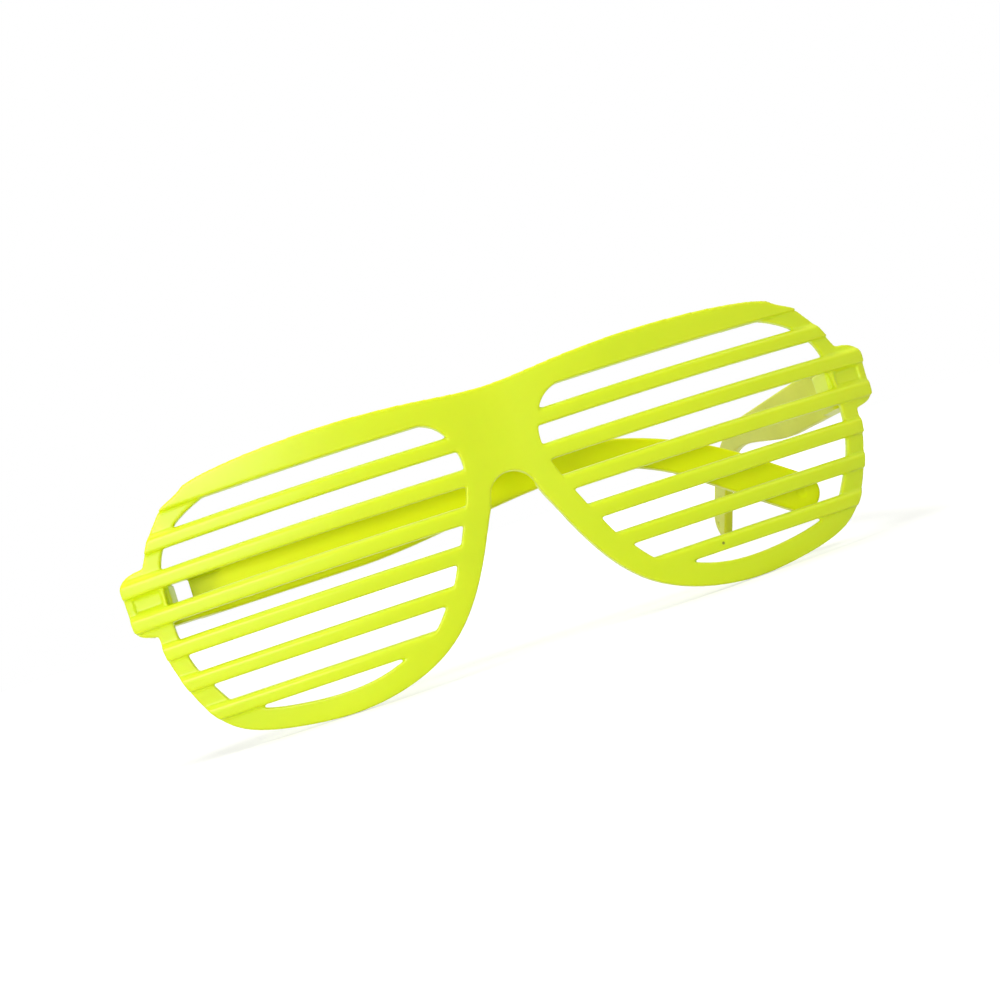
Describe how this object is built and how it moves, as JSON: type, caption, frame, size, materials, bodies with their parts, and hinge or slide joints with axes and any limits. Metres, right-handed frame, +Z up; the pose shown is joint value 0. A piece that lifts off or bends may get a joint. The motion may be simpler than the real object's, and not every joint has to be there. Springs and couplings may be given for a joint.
{
  "type": "slatted novelty glasses",
  "caption": "Moulded plastic novelty glasses with horizontal slats in place of lenses and folding temples that turn on hinge pins.",
  "frame": {"origin": "middle of the bounding box at its base, on the surface that the glasses stand on, left temple folded and right temple open", "axes": "+X to the right of someone who looks at the front of the glasses, +Y from the front back along the open temple, +Z up"},
  "size_m": [0.1482, 0.144, 0.0516],
  "materials": {
    "front": "moulded, satin gloss",
    "left_temple": "moulded, satin gloss",
    "right_temple": "moulded, satin gloss",
    "hinge_pin": "drawn wire, cut to length"
  },
  "bodies": {
    "front": {"front": "front", "left_hinge_pin": "hinge_pin", "right_hinge_pin": "hinge_pin"},
    "left_temple": {"left_temple": "left_temple"},
    "right_temple": {"right_temple": "right_temple"}
  },
  "joints": [
    {"name": "left_temple_hinge", "type": "hinge", "parent": "front", "child": "left_temple", "pos_m": [-0.0695, -0.05591, 0.03014], "axis": [0, 0.0671, 0.9977], "range_deg": [0, 90]},
    {"name": "right_temple_hinge", "type": "hinge", "parent": "front", "child": "right_temple", "pos_m": [0.0695, -0.05591, 0.03014], "axis": [0, 0.0671, 0.9977], "range_deg": [0, 84]}
  ]
}
